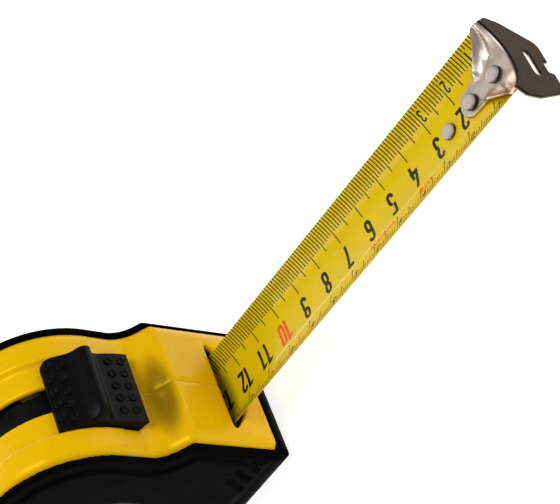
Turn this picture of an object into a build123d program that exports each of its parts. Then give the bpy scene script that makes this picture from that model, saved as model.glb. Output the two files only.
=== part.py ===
"""Pocket tape measure with a five metre blade, as an assembly of separate pieces.

Frame: millimetres, +X the way the blade runs out, +Y to the belt clip side, +Z up.
The origin is on the resting face, under the axis of the reel.
The blade stands 124 mm out of the mouth and the lock is on.
"""

import os
from math import asin, cos, pi, radians, sin, sqrt

from build123d import *

os.makedirs("parts", exist_ok=True)

# ---------------------------------------------------------------- driving dimensions
# case, side view
nose_x = 41.0  # front face of the nose
rear_x = -35.0  # rear face
case_height = 78.2
nose_height = 34.7
upper_front_x = 34.0  # front face above the nose
dip_x = 33.0  # thumb dip, where the nose meets the upper front
dip_z = 40.2
crown_radius = 26.0  # big round corners at the top
heel_radius = 10.0
toe_radius = 8.0
nose_radius = 2.6
dip_radius = 8.0

# case, front view
case_width = 45.0  # over both rubber grips
grip_thickness = 2.0
bottom_edge_radius = 7.0  # along both sides of the resting face
sole_thickness = 2.5  # rubber under the shells
sole_height = 7.2  # how far the rubber reaches up the nose and the heel
wall = 2.4
shell_edge_radius = 3.2
grip_edge_radius = 1.4
pad_inset = 4.6  # raised field on each grip
pad_rise = 0.7
groove_count = 3
groove_x = 35.5
groove_z = 14.0
groove_pitch = 4.2
groove_length = 9.0
groove_width = 1.8
groove_slant = 62.0
groove_depth = 0.9
badge_radius = 16.0
badge_thickness = 1.0

# blade
blade_width = 25.0  # measured flat
blade_thickness = 0.2
blade_curve_radius = 16.5  # of its concave, printed side
blade_length = 5000.0
blade_height = 13.2  # printed side above the resting face, at the middle of the blade
blade_out = 124.0  # from the nose to the zero mark
blade_front_length = 66.0  # the stretch that stays straight in every position

# mouth
mouth_gap = 1.4  # below the blade, wide enough for the rivets
mouth_rise = 1.8  # above the blade's edges, clear of the hook's wings
guide_half = 14.0
guide_drop = 1.0  # top of the guide below the blade's edges
guide_groove_half = 2.6  # groove that the rivets run through
guide_setback = 1.5  # guide starts this far in front of the wound blade
transition_x = 26.0  # from here on the blade has its full curve
flattest_share = 0.12  # of the full curve, where the blade leaves the reel

# end hook
hook_sheet = 0.9
hook_wing_length = 8.3
hook_neck_length = 11.4
hook_tongue_length = 19.0
hook_tongue_width = 7.2
hook_drop = 12.9  # from the printed side down to the hook's foot
hook_ear_half = 13.3
hook_ear_rise = 2.2
hook_ear_height = 4.5
hook_ear_taper = 0.4
hook_ear_round = 1.0
hook_wing_half = 11.2
hook_shoulder_half = 6.6
hook_wing_straight = 2.9  # the wings keep their full width this far back
hook_wing_round = 2.0
hook_neck_round = 1.5
hook_neck_flare = 0.4  # neck wider than the tongue, on each side
hook_foot_half = 8.5
hook_corner_radius = 2.6
hook_notch_width = 4.0
hook_notch_depth = 1.8
hook_float = 1.0  # its play along the blade, equal to its thickness
nail_slot_length = 8.5
nail_slot_width = 2.2
rivet_radius = 2.1
rivet_shank_radius = 1.1
rivet_head = 0.9
rivet_places = (6.0, 15.2)  # behind the zero mark
stop_rivet_place = 25.0
backing_length = 21.5
backing_sheet = 0.3

# reel
drum_radius = 15.0
drum_wall = 1.6
flange_thickness = 1.4
flange_margin = 0.9  # flange beyond the wound blade
coil_turns = 16
coil_fill = 0.6  # strip share of one turn's pitch
post_radius = 3.5
post_slit = 1.0  # takes the inner end of the spring
cover_lip = 1.2  # wall of the ring that snaps into the drum
cover_lip_depth = 1.5
spring_turns = 9
spring_thickness = 0.45
spring_inner_radius = 4.3
spring_side_room = 2.0
window_count = 6
window_length = 8.0

# lock
track_angle_low = -19.7  # the button's track, about the centre of the front crown
track_angle_high = 96.0
button_width = 22.4
button_front_angle = -18.6
button_rear_angle = 34.0
channel_depth = 1.8
strap_width = 7.2
strap_thickness = 1.3
strap_depth = 2.6  # top of the strap below the channel's floor
strap_angle_low = -36.5
stem_angle = 12.0
track_wall = 1.8  # of the case behind the channel
slot_angle_low = -5.0
slot_angle_high = 88.0
# angle round the track, height above the channel's floor and corner radius, front to rear
button_profile = (
    (34.0, 1.1, 0.3),
    (15.5, 3.2, 6.0),
    (8.0, 6.0, 1.7),
    (3.0, 5.2, 0.8),
    (-0.6, 3.2, 1.2),
    (-18.6, 5.6, 0.6),
)
shoe_foot_inner = 5.2
shoe_foot_outer = 9.6
shoe_length = 3.2
shoe_gap = 0.2
shoe_x = 27.5
shoe_rise = 8.2  # top of the shoe above the blade
shoe_bridge_rise = 5.0  # room over the hook's tongue and rivets

# belt clip
clip_width = 19.0
clip_sheet = 1.2
clip_length = 43.0
clip_gap = 4.9
clip_lip = 5.0
clip_slope = 7.5  # height over which the clip steps out from the case
clip_screw_drop = 15.5  # clip screw below the top of the case
clip_bend_drop = 7.5  # first bend below the screw
clip_catch = 1.6  # how far the lip turns in and out again
clip_catch_share = 0.45  # height of its inmost point, as a share of the lip
clip_boss_length = 2.6
clip_screw_length = 6.0
clip_screw_head = 3.4

# fasteners
screw_radius = 1.5
screw_head_radius = 2.7
screw_head_height = 1.6
screw_length = 25.0
boss_radius = 3.2
recess_arm = 1.1  # cross recess, as shares of the head's radius and height
recess_width = 0.3
recess_depth = 0.6
rear_screw_inset = 8.3
front_screw_x = 22.0
front_screw_lift = 1.4
front_crown_screw_angle = 46.0
rear_crown_screw_inset = 12.0
rear_crown_screw_rise = 14.5  # above the centre of the crown's rounding

# wrist strap hole
strap_hole_radius = 2.25
strap_boss_radius = 4.6
strap_hole_inset = 7.4  # from the rear face
strap_hole_height = 9.6

# clearances
running = 0.05
loose = 0.3
clear = 0.5

# ---------------------------------------------------------------- worked out from these
half_width = case_width / 2
shell_half = half_width - grip_thickness
cavity_half = shell_half - wall
track_x = upper_front_x - crown_radius
track_z = case_height - crown_radius
channel_radius = crown_radius - channel_depth
strap_radius = channel_radius - strap_depth
shoe_top = blade_height + shoe_rise

blade_axis_z = blade_height + blade_curve_radius
blade_half_angle = blade_width / (2 * blade_curve_radius)
blade_edge_z = blade_axis_z - blade_curve_radius * cos(blade_half_angle)
tip_x = nose_x + blade_out
mouth_top = blade_edge_z + mouth_rise
guide_top = blade_edge_z - guide_drop

coil_radius = sqrt(drum_radius**2 + blade_length * blade_thickness / pi)
reel_z = blade_edge_z + clear + coil_radius
reel_half = blade_width / 2 + loose
flange_radius = coil_radius + flange_margin
drum_inner_radius = drum_radius - drum_wall
floor_z = sole_thickness + wall
low_half = half_width - sole_thickness
cavity_front_x = nose_x - wall

top_screw_reach = strap_radius - strap_thickness - clear - boss_radius
crown_turn = radians(front_crown_screw_angle)
low_screw_z = blade_edge_z + boss_radius + 2 * loose
screw_places = (
    (rear_x + rear_screw_inset, low_screw_z),
    (front_screw_x, low_screw_z + front_screw_lift),
    (track_x + top_screw_reach * cos(crown_turn), track_z + top_screw_reach * sin(crown_turn)),
    (rear_x + rear_crown_screw_inset, track_z + rear_crown_screw_rise),
)
strap_hole = (rear_x + strap_hole_inset, strap_hole_height)
clip_screw_z = case_height - clip_screw_drop
clip_y = half_width + clip_gap
clip_top = clip_screw_z + clip_width / 2
clip_bend_z = clip_screw_z - clip_bend_drop
clip_low = clip_top - clip_length


# ---------------------------------------------------------------- shared profiles
def case_corners():
    """Corner and radius, anticlockwise from the heel, seen from the right side."""
    return (
        ((rear_x, 0), heel_radius),
        ((nose_x, 0), toe_radius),
        ((nose_x, nose_height), nose_radius),
        ((dip_x, dip_z), dip_radius),
        ((upper_front_x, case_height), crown_radius),
        ((rear_x, case_height), crown_radius),
    )


def case_face(inset=0.0):
    """Side profile of the case, drawn in the middle plane and drawn in by a margin."""
    corners = case_corners()
    with BuildSketch(Plane.XZ) as face:
        with BuildLine():
            Polyline(*[point for point, _ in corners], close=True)
        make_face()
        for (x, z), radius in corners:
            at = face.vertices().sort_by_distance((x, z, 0))[0]
            fillet(at, radius)
        if inset:
            offset(amount=-inset)
    return face.sketch


def sector_face(r_low, r_high, a_low, a_high, x=track_x, z=track_z):
    """Ring sector about the button's track centre, in the middle plane."""
    with BuildSketch(Plane.XZ) as face:
        with BuildLine():
            points = [
                (x + r * cos(radians(a)), z + r * sin(radians(a)))
                for r, a in ((r_low, a_low), (r_high, a_low), (r_high, a_high), (r_low, a_high))
            ]
            mid = radians((a_low + a_high) / 2)
            Line(points[0], points[1])
            ThreePointArc(points[1], (x + r_high * cos(mid), z + r_high * sin(mid)), points[2])
            Line(points[2], points[3])
            ThreePointArc(points[3], (x + r_low * cos(mid), z + r_low * sin(mid)), points[0])
        make_face()
    return face.sketch


def arc_strip_face(x, r_low, r_high, half_angle):
    """Cross-section of a curved strip lying in the blade's trough, at a place along X."""
    with BuildSketch(Plane.YZ.offset(x)) as face:
        with BuildLine():
            ends = [
                (r * sin(side * half_angle), blade_axis_z - r * cos(half_angle))
                for r, side in ((r_high, -1), (r_high, 1), (r_low, 1), (r_low, -1))
            ]
            ThreePointArc(ends[0], (0, blade_axis_z - r_high), ends[1])
            Line(ends[1], ends[2])
            ThreePointArc(ends[2], (0, blade_axis_z - r_low), ends[3])
            Line(ends[3], ends[0])
        make_face()
    return face.sketch


def spiral_face(r_start, pitch, turns, thickness):
    """Flat spiral strip made of half circles, about the reel's axis."""
    with BuildSketch(Plane.XZ) as face:
        with BuildLine():
            for edge in (-thickness / 2, thickness / 2):
                for k in range(int(2 * turns)):
                    radius = r_start + k * pitch / 2 + edge
                    centre = (k % 2) * pitch / 2
                    turn = 1 if k % 2 == 0 else -1
                    ThreePointArc(
                        (centre + turn * radius, reel_z),
                        (centre, reel_z + turn * radius),
                        (centre - turn * radius, reel_z),
                    )
            last = r_start + int(2 * turns - 1) * pitch / 2
            shift = (int(2 * turns - 1) % 2) * pitch / 2
            way = 1 if int(2 * turns - 1) % 2 else -1
            Line((r_start - thickness / 2, reel_z), (r_start + thickness / 2, reel_z))
            Line(
                (shift + way * (last - thickness / 2), reel_z),
                (shift + way * (last + thickness / 2), reel_z),
            )
        make_face()
    return face.sketch


def across(face, y_low, y_high):
    """Pull a middle-plane profile out between two places across the case."""
    lifted = face.moved(Location((0, y_low, 0)))
    return extrude(lifted, amount=y_high - y_low, dir=(0, 1, 0), mode=Mode.PRIVATE)


def save(part, name):
    part.label = name
    export_step(part, f"parts/{name}.step")


# ---------------------------------------------------------------- case shells
def side_body(face, side, half, edge_radius, bottom_radius):
    """Half of the case: a profile pulled out sideways, with its rim and its bottom edge rounded."""
    with BuildPart(mode=Mode.PRIVATE) as body:
        add(across(face, 0, side * half))
        rim = body.faces().filter_by(Axis.Y).sort_by(Axis.Y)[-1 if side > 0 else 0]
        fillet(rim.edges(), edge_radius)
        with BuildSketch(Plane.YZ.offset(2 * rear_x)) as front_view:
            bottom = face.bounding_box().min.Z
            with BuildLine():
                Line((0, bottom), (side * (half - bottom_radius), bottom))
                JernArc(
                    start=(side * (half - bottom_radius), bottom),
                    tangent=(side, 0),
                    radius=bottom_radius,
                    arc_size=side * 90,
                )
                Polyline(
                    (side * half, bottom + bottom_radius),
                    (side * half, 2 * case_height),
                    (0, 2 * case_height),
                    (0, bottom),
                )
            make_face()
        extrude(amount=4 * nose_x - 2 * rear_x, mode=Mode.INTERSECT)
    return body.part


def slab(z_low, z_high, y_half=200.0):
    """Everything between two heights, no further out than y_half."""
    with BuildPart(mode=Mode.PRIVATE) as layer:
        with Locations((0, 0, (z_low + z_high) / 2)):
            Box(10 * nose_x, 2 * y_half, z_high - z_low)
    return layer.part


def shell_block(side):
    """Outside of one shell: full size above the rubber's edge, drawn in below it."""
    with BuildPart(mode=Mode.PRIVATE) as block:
        add(side_body(case_face(), side, shell_half, shell_edge_radius, running))
        add(slab(sole_height, 2 * case_height), mode=Mode.INTERSECT)
        with BuildPart(mode=Mode.PRIVATE) as low:
            inner_radius = bottom_edge_radius - sole_thickness
            add(side_body(case_face(sole_thickness), side, low_half, running, inner_radius))
            add(slab(0, sole_height), mode=Mode.INTERSECT)
        add(low.part)
    return block.part


def mouth_cut():
    """D-shaped way out for the blade: round below, straight above."""
    radius = blade_curve_radius + blade_thickness + mouth_gap
    with BuildPart(mode=Mode.PRIVATE) as cut:
        with BuildSketch(Plane.YZ.offset(cavity_front_x - 1)):
            with Locations((0, blade_axis_z)):
                Circle(radius)
            with Locations((0, mouth_top + radius)):
                Rectangle(2 * radius, 2 * radius, mode=Mode.SUBTRACT)
        extrude(amount=wall + 2)
    return cut.part


def column(x, z, radius, y_low, y_high):
    """Round column across the case, at a place in side view."""
    with BuildPart(mode=Mode.PRIVATE) as post:
        with BuildSketch(Plane.XZ.offset(-y_low)):
            with Locations((x, z)):
                Circle(radius)
        extrude(amount=y_low - y_high)
    return post.part


def case_shell(side):
    """One moulded half: side +1 carries the screw heads, side -1 the threads."""
    with BuildPart() as shell:
        add(shell_block(side))
        with BuildPart(mode=Mode.PRIVATE) as cavity:
            add(across(case_face(wall), 0, side * cavity_half))
            add(slab(sole_height + wall, 2 * case_height), mode=Mode.INTERSECT)
            with BuildPart(mode=Mode.PRIVATE) as low:
                add(across(case_face(sole_thickness + wall), 0, side * (low_half - wall)))
                add(slab(0, sole_height + wall), mode=Mode.INTERSECT)
            add(low.part)
        add(cavity.part, mode=Mode.SUBTRACT)
        # thickened wall behind the button's channel, then the channel and the strap's slot
        channel_half = button_width / 2 + loose
        behind = sector_face(
            channel_radius - track_wall, crown_radius - 0.5, track_angle_low - 4, track_angle_high + 4
        )
        add(across(behind, 0, side * (channel_half + track_wall)))
        channel = sector_face(channel_radius, 2 * crown_radius, track_angle_low, track_angle_high)
        add(across(channel, 0, side * channel_half), mode=Mode.SUBTRACT)
        slot = sector_face(
            channel_radius - 2 * wall, 2 * crown_radius, slot_angle_low, slot_angle_high
        )
        add(across(slot, 0, side * (strap_width / 2 + loose)), mode=Mode.SUBTRACT)
        add(mouth_cut(), mode=Mode.SUBTRACT)
        # columns for the screws and the wrist strap
        for x, z in screw_places:
            add(column(x, z, boss_radius, 0, side * cavity_half))
        add(column(*strap_hole, strap_boss_radius, 0, side * cavity_half))
        add(column(*strap_hole, strap_hole_radius, 0, side * half_width), mode=Mode.SUBTRACT)
        # seat for the reel post
        seat = reel_half + flange_thickness + clear
        add(column(0, reel_z, post_radius + wall, side * seat, side * cavity_half))
        add(
            column(0, reel_z, post_radius + running, side * (seat - 1), side * cavity_half),
            mode=Mode.SUBTRACT,
        )
        # screw holes, with seats for the heads on the +Y side
        deep = shell_half if side > 0 else screw_length - (shell_half - screw_head_height) + clear
        for x, z in screw_places:
            add(column(x, z, screw_radius + running, 0, side * deep), mode=Mode.SUBTRACT)
            if side > 0:
                seat_low = shell_half - screw_head_height
                add(
                    column(x, z, screw_head_radius + loose, seat_low, shell_half),
                    mode=Mode.SUBTRACT,
                )
        if side > 0:
            # threaded column for the belt clip's screw
            low = cavity_half - clip_boss_length
            add(column(0, clip_screw_z, boss_radius, low, cavity_half))
            add(column(0, clip_screw_z, screw_radius + running, low, shell_half), mode=Mode.SUBTRACT)
    return shell.part


case_left = case_shell(1)
case_right = case_shell(-1)
save(case_left, "case_left")
save(case_right, "case_right")


# ---------------------------------------------------------------- rubber grips with the sole
def grip(side):
    """Rubber side plate that also wraps under the case, up the nose and up the heel."""
    with BuildPart() as rubber:
        border = half_width - pad_rise
        add(side_body(case_face(), side, border, grip_edge_radius, bottom_edge_radius))
        pad = side_body(case_face(pad_inset), side, half_width, pad_rise * 0.8, bottom_edge_radius)
        add(pad)
        with BuildPart(mode=Mode.PRIVATE) as inside:
            add(across(case_face(-wall), 0, side * shell_half))
            add(slab(sole_height, 2 * case_height), mode=Mode.INTERSECT)
        add(inside.part, mode=Mode.SUBTRACT)
        add(shell_block(side), mode=Mode.SUBTRACT)
        # slanting finger grooves beside the nose
        for k in range(groove_count):
            with BuildSketch(Plane.XZ.offset(-side * (half_width - groove_depth))):
                with Locations((groove_x - k * groove_pitch, groove_z)):
                    SlotOverall(groove_length, groove_width, rotation=groove_slant)
            extrude(amount=-side * 2 * groove_depth, mode=Mode.SUBTRACT)
        # holes
        add(
            column(*strap_hole, strap_hole_radius, 0, side * (half_width + 1)),
            mode=Mode.SUBTRACT,
        )
        if side > 0:
            for x, z in screw_places:
                hole = column(x, z, screw_head_radius + loose, shell_half - 1, half_width + 1)
                add(hole, mode=Mode.SUBTRACT)
            recess_top = clip_top + clip_sheet / 2 + clear
            recess_low = clip_bend_z - clip_slope
            with Locations((0, half_width, (recess_top + recess_low) / 2)):
                Box(
                    clip_width + 2 * clear,
                    2 * grip_thickness,
                    recess_top - recess_low,
                    mode=Mode.SUBTRACT,
                )
        else:
            seat = column(
                0, reel_z, badge_radius + loose, -(half_width - badge_thickness), -half_width - 1
            )
            add(seat, mode=Mode.SUBTRACT)
    return rubber.part


grip_left = grip(1)
grip_right = grip(-1)
save(grip_left, "grip_left")
save(grip_right, "grip_right")

with BuildPart() as side_badge:
    with BuildSketch(Plane.XZ.offset(half_width - badge_thickness)):
        with Locations((0, reel_z)):
            Circle(badge_radius)
    extrude(amount=badge_thickness - 0.2)
    chamfer(side_badge.faces().sort_by(Axis.Y)[0].edges(), 0.3)
save(side_badge.part, "side_badge")


# ---------------------------------------------------------------- case screws
def cross_screw(x, z, head_y, length, head_radius, head_height):
    """Pan head screw pointing to -Y: shank, head and cross recess."""
    with BuildPart(mode=Mode.PRIVATE) as screw:
        add(column(x, z, screw_radius, head_y - length, head_y))
        add(column(x, z, head_radius, head_y, head_y + head_height))
        fillet(screw.faces().sort_by(Axis.Y)[-1].edges(), head_height / 3)
        recess = head_height * recess_depth
        for turn in (0, 90):
            with BuildSketch(Plane.XZ.offset(-(head_y + head_height - recess))):
                with Locations((x, z)):
                    Rectangle(
                        head_radius * recess_arm, head_radius * recess_width, rotation=turn + 45
                    )
            extrude(amount=-head_height, mode=Mode.SUBTRACT)
    return screw.part


with BuildPart() as case_screws:
    for x, z in screw_places:
        head_y = shell_half - screw_head_height
        add(cross_screw(x, z, head_y, screw_length, screw_head_radius, screw_head_height - 0.1))
save(case_screws.part, "case_screws")


# ---------------------------------------------------------------- blade guide in the nose
with BuildPart() as mouth_guide:
    guide_back = coil_radius + guide_setback
    guide_front = cavity_front_x - running
    with Locations(((guide_back + guide_front) / 2, 0, (floor_z + guide_top) / 2)):
        Box(guide_front - guide_back, 2 * guide_half, guide_top - floor_z)
    with BuildSketch(Plane.YZ.offset(guide_back - 1)):
        with Locations((0, blade_axis_z)):
            Circle(blade_curve_radius + blade_thickness + backing_sheet + loose)
            Rectangle(
                2 * guide_groove_half, 2 * (blade_curve_radius + blade_thickness + mouth_gap)
            )
    extrude(amount=guide_front - guide_back + 2, mode=Mode.SUBTRACT)
    inside_face = case_face(sole_thickness + wall + running)
    add(across(inside_face, -guide_half, guide_half), mode=Mode.INTERSECT)
save(mouth_guide.part, "mouth_guide")


# ---------------------------------------------------------------- reel
def disc(radius, y_low, y_high, hole=0.0):
    """Disc on the reel's axis, with a hole."""
    with BuildPart(mode=Mode.PRIVATE) as plate:
        add(column(0, reel_z, radius, y_low, y_high))
        if hole:
            add(column(0, reel_z, hole, y_low - 1, y_high + 1), mode=Mode.SUBTRACT)
    return plate.part


post_hole = post_radius + running

with BuildPart() as reel_post:
    end = cavity_half - loose
    add(column(0, reel_z, post_radius, -end, end))
    chamfer(reel_post.faces().filter_by(Axis.Y).edges(), 0.4)
    # slit that takes the inner end of the spring
    with Locations((0, 0, reel_z + post_radius / 2)):
        Box(post_slit, 2 * (reel_half - spring_side_room), post_radius + 1, mode=Mode.SUBTRACT)
save(reel_post.part, "reel_post")

with BuildPart() as reel_drum:
    outer = reel_half + flange_thickness
    add(disc(flange_radius, -outer, -reel_half, post_hole))
    add(disc(drum_radius, -reel_half, reel_half, drum_inner_radius))
    # lightening windows in the flange
    with BuildSketch(Plane.XZ.offset(reel_half - 1)):
        with Locations((0, reel_z)):
            with PolarLocations((drum_radius + flange_radius) / 2, window_count):
                SlotOverall(
                    window_length, flange_radius - drum_radius - 2 * drum_wall, rotation=90
                )
    extrude(amount=flange_thickness + 2, mode=Mode.SUBTRACT)
save(reel_drum.part, "reel_drum")

with BuildPart() as reel_cover:
    outer = reel_half + flange_thickness
    add(disc(flange_radius, reel_half, outer, post_hole))
    lip_radius = drum_inner_radius - running
    add(disc(lip_radius, reel_half - cover_lip_depth, reel_half, drum_inner_radius - cover_lip))
    with BuildSketch(Plane.XZ.offset(-reel_half + 1)):
        with Locations((0, reel_z)):
            with PolarLocations((drum_radius + flange_radius) / 2, window_count):
                SlotOverall(
                    window_length, flange_radius - drum_radius - 2 * drum_wall, rotation=90
                )
    extrude(amount=-flange_thickness - 2, mode=Mode.SUBTRACT)
save(reel_cover.part, "reel_cover")

coil_pitch = (coil_radius - drum_radius) / (coil_turns + 0.5)
coil_strip = coil_pitch * coil_fill
with BuildPart() as blade_coil:
    start = drum_radius + coil_strip / 2 + running
    strip = spiral_face(start, coil_pitch, coil_turns, coil_strip)
    add(across(strip, -blade_width / 2, blade_width / 2))
save(blade_coil.part, "blade_coil")

with BuildPart() as mainspring:
    spring_outer_radius = drum_inner_radius - cover_lip - loose
    spring_room = spring_outer_radius - spring_inner_radius - spring_thickness
    spring_pitch = spring_room / (spring_turns + 0.5)
    spring_half = reel_half - spring_side_room
    strip = spiral_face(spring_inner_radius, spring_pitch, spring_turns, spring_thickness)
    add(across(strip, -spring_half, spring_half))
save(mainspring.part, "mainspring")


# ---------------------------------------------------------------- blade
def hole_down(x, radius):
    """Upright hole through the middle of the blade."""
    with BuildPart(mode=Mode.PRIVATE) as drill:
        with Locations((x, 0, blade_height)):
            Cylinder(radius, 8)
    return drill.part


def trough(x_low, x_high, r_low, r_high, half_angle):
    """Curved strip lying along the blade."""
    with BuildPart(mode=Mode.PRIVATE) as strip:
        extrude(arc_strip_face(x_low, r_low, r_high, half_angle), amount=x_high - x_low)
    return strip.part


blade_low = blade_curve_radius + blade_thickness
front_x = tip_x - blade_front_length
blade_end_x = tip_x - hook_sheet - running

with BuildPart() as blade_front:
    add(trough(front_x, blade_end_x, blade_curve_radius, blade_low, blade_half_angle))
    for place in (*rivet_places, stop_rivet_place):
        add(hole_down(tip_x - place, rivet_shank_radius + running), mode=Mode.SUBTRACT)
save(blade_front.part, "blade_front")


def blade_section(x, share):
    """Blade's cross-section on its way from the coil, flat at share 0 and curved at share 1."""
    radius = blade_curve_radius / max(share, flattest_share)
    half_angle = blade_width / (2 * radius)
    centre_z = blade_edge_z + radius * cos(half_angle)
    with BuildSketch(Plane.YZ.offset(x)) as face:
        with BuildLine():
            low = radius + blade_thickness
            ends = [
                (r * sin(side * half_angle), centre_z - r * cos(half_angle))
                for r, side in ((low, -1), (low, 1), (radius, 1), (radius, -1))
            ]
            ThreePointArc(ends[0], (0, centre_z - low), ends[1])
            Line(ends[1], ends[2])
            ThreePointArc(ends[2], (0, centre_z - radius), ends[3])
            Line(ends[3], ends[0])
        make_face()
    return face.sketch


with BuildPart() as blade_rear:
    add(trough(transition_x, front_x, blade_curve_radius, blade_low, blade_half_angle))
    loft(
        [
            blade_section(transition_x, 1.0),
            blade_section(transition_x / 2, 0.5),
            blade_section(1.0, 0.0),
        ]
    )
save(blade_rear.part, "blade_rear")

with BuildPart() as backing_plate:
    half_angle = blade_half_angle * 0.62
    add(
        trough(
            tip_x - backing_length, tip_x - 1.5, blade_low, blade_low + backing_sheet, half_angle
        )
    )
    for place in rivet_places:
        add(hole_down(tip_x - place, rivet_shank_radius + running), mode=Mode.SUBTRACT)
save(backing_plate.part, "backing_plate")


def rivet(place, stack_top, stack_low):
    """Round-headed rivet through the blade, at a distance behind the zero mark."""
    x = tip_x - place
    with BuildPart(mode=Mode.PRIVATE) as pin:
        with Locations((x, 0, (stack_top + stack_low) / 2)):
            Cylinder(rivet_shank_radius, stack_top - stack_low)
        with Locations((x, 0, stack_top + rivet_head / 2)):
            Cylinder(rivet_radius, rivet_head)
        with Locations((x, 0, stack_low - rivet_head / 3)):
            Cylinder(rivet_radius * 0.9, rivet_head * 2 / 3)
        ends = pin.faces().filter_by(Axis.Z).sort_by(Axis.Z)
        fillet(ends[-1].edges(), rivet_head / 3)
        fillet(ends[0].edges(), rivet_head / 4)
    return pin.part


def sag_at(half, radius):
    """How much a trough of this radius rises from its middle to a half width."""
    return radius - sqrt(radius**2 - half**2)


tongue_radius = blade_curve_radius - running
tongue_top = blade_height + running + hook_sheet
under_blade = blade_height - blade_thickness
under_plate = under_blade - backing_sheet
with BuildPart() as hook_rivets:
    head_lift = sag_at(rivet_radius, blade_curve_radius - hook_sheet) + running
    for place in rivet_places:
        add(rivet(place, tongue_top + head_lift, under_plate))
save(hook_rivets.part, "hook_rivets")

with BuildPart() as stop_rivet:
    add(rivet(stop_rivet_place, blade_height + sag_at(rivet_radius, blade_curve_radius), under_blade))
save(stop_rivet.part, "stop_rivet")


# ---------------------------------------------------------------- end hook
def hook_plan():
    """Plan of the hook's top plate: wings at the tip, neck and round-ended tongue."""
    half_tongue = hook_tongue_width / 2
    neck_half = half_tongue + hook_neck_flare
    with BuildSketch(Plane.XY) as plan:
        with BuildLine():
            outline = [
                (tip_x, -hook_wing_half),
                (tip_x, hook_wing_half),
                (tip_x - hook_wing_straight, hook_wing_half),
                (tip_x - hook_wing_length, hook_shoulder_half),
                (tip_x - hook_neck_length, neck_half),
                (tip_x - hook_tongue_length + half_tongue, half_tongue),
                (tip_x - hook_tongue_length + half_tongue, -half_tongue),
                (tip_x - hook_neck_length, -neck_half),
                (tip_x - hook_wing_length, -hook_shoulder_half),
                (tip_x - hook_wing_straight, -hook_wing_half),
            ]
            Polyline(*outline, close=True)
        make_face()
        for sign in (-1, 1):
            corner = (tip_x - hook_wing_length, sign * hook_shoulder_half, 0)
            fillet(plan.vertices().sort_by_distance(corner)[0], hook_wing_round)
            corner = (tip_x - hook_neck_length, sign * neck_half, 0)
            fillet(plan.vertices().sort_by_distance(corner)[0], hook_neck_round)
        with Locations((tip_x - hook_tongue_length + half_tongue, 0)):
            Circle(half_tongue)
        # slots that let the hook float on its rivets
        for place in rivet_places:
            with Locations((tip_x - place - hook_float / 2, 0)):
                SlotOverall(
                    2 * (rivet_shank_radius + running) + hook_float,
                    2 * (rivet_shank_radius + running),
                    mode=Mode.SUBTRACT,
                )
    return plan.sketch


with BuildPart() as end_hook:
    with BuildSketch(Plane.YZ.offset(tip_x - hook_tongue_length)):
        with Locations((0, blade_axis_z)):
            Circle(tongue_radius)
            Circle(tongue_radius - hook_sheet, mode=Mode.SUBTRACT)
    extrude(amount=hook_tongue_length)
    extrude(hook_plan(), amount=blade_axis_z, mode=Mode.INTERSECT)
    # turned-down plate across the blade's end
    with BuildSketch(Plane.YZ.offset(tip_x - hook_sheet)) as plate:
        foot_z = blade_height - hook_drop
        ear_z = blade_height + hook_ear_rise
        low_ear_z = ear_z - hook_ear_height
        low_ear_half = hook_ear_half - hook_ear_taper
        crest_angle = asin(hook_wing_half / tongue_radius)
        crest_z = blade_axis_z - (tongue_radius - hook_sheet) * cos(crest_angle)
        with BuildLine():
            Polyline(
                (-hook_wing_half, crest_z),
                (-hook_ear_half, ear_z),
                (-low_ear_half, low_ear_z),
                (-hook_foot_half, foot_z),
                (hook_foot_half, foot_z),
                (low_ear_half, low_ear_z),
                (hook_ear_half, ear_z),
                (hook_wing_half, crest_z),
            )
            ThreePointArc(
                (hook_wing_half, crest_z),
                (0, blade_axis_z - tongue_radius + hook_sheet),
                (-hook_wing_half, crest_z),
            )
        make_face()
        for sign in (-1, 1):
            foot_corner = (sign * hook_foot_half, foot_z, 0)
            fillet(plate.vertices().sort_by_distance(foot_corner)[0], hook_corner_radius)
            ear_corner = (sign * hook_ear_half, ear_z, 0)
            fillet(plate.vertices().sort_by_distance(ear_corner)[0], hook_ear_round)
        with Locations((0, foot_z)):
            Rectangle(hook_notch_width, 2 * hook_notch_depth, mode=Mode.SUBTRACT)
        with Locations((0, foot_z + hook_drop / 2)):
            SlotOverall(nail_slot_length, nail_slot_width, mode=Mode.SUBTRACT)
    extrude(amount=hook_sheet)
save(end_hook.part, "end_hook")


# ---------------------------------------------------------------- lock
def button_point(angle, radius):
    return (track_x + radius * cos(radians(angle)), track_z + radius * sin(radians(angle)))


under_button = channel_radius + loose
with BuildPart() as lock_button:
    with BuildSketch(Plane.XZ) as profile:
        top = [button_point(angle, channel_radius + rise) for angle, rise, _ in button_profile]
        low_front = button_point(button_front_angle, under_button)
        low_rear = button_point(button_rear_angle, under_button)
        with BuildLine():
            Polyline(low_rear, *top, low_front)
            middle = (button_front_angle + button_rear_angle) / 2
            ThreePointArc(low_front, button_point(middle, under_button), low_rear)
        make_face()
        for (x, z), (_, _, radius) in zip(top, button_profile):
            if radius:
                fillet(profile.vertices().sort_by_distance((x, z, 0))[0], radius)
    extrude(amount=button_width / 2, both=True)
    # stem through the slot
    stem = sector_face(strap_radius, under_button + 0.5, 0, stem_angle)
    add(across(stem, -strap_width / 2, strap_width / 2))
save(lock_button.part, "lock_button")

with BuildPart() as lock_strap:
    low = strap_radius - strap_thickness
    band = sector_face(low, strap_radius, strap_angle_low, track_angle_high)
    add(across(band, -strap_width / 2, strap_width / 2))
    # straight arm from the strap down to the shoe
    with BuildSketch(Plane.XZ) as arm:
        turn = radians(strap_angle_low)
        root = [
            (track_x + r * cos(turn), track_z + r * sin(turn)) for r in (strap_radius, low)
        ]
        foot_z = shoe_top
        with BuildLine():
            Polyline(
                root[0],
                root[1],
                (shoe_x - strap_thickness / 2, foot_z),
                (shoe_x + strap_thickness / 2, foot_z),
                close=True,
            )
        make_face()
    extrude(amount=strap_width / 2, both=True)
save(lock_strap.part, "lock_strap")

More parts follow.
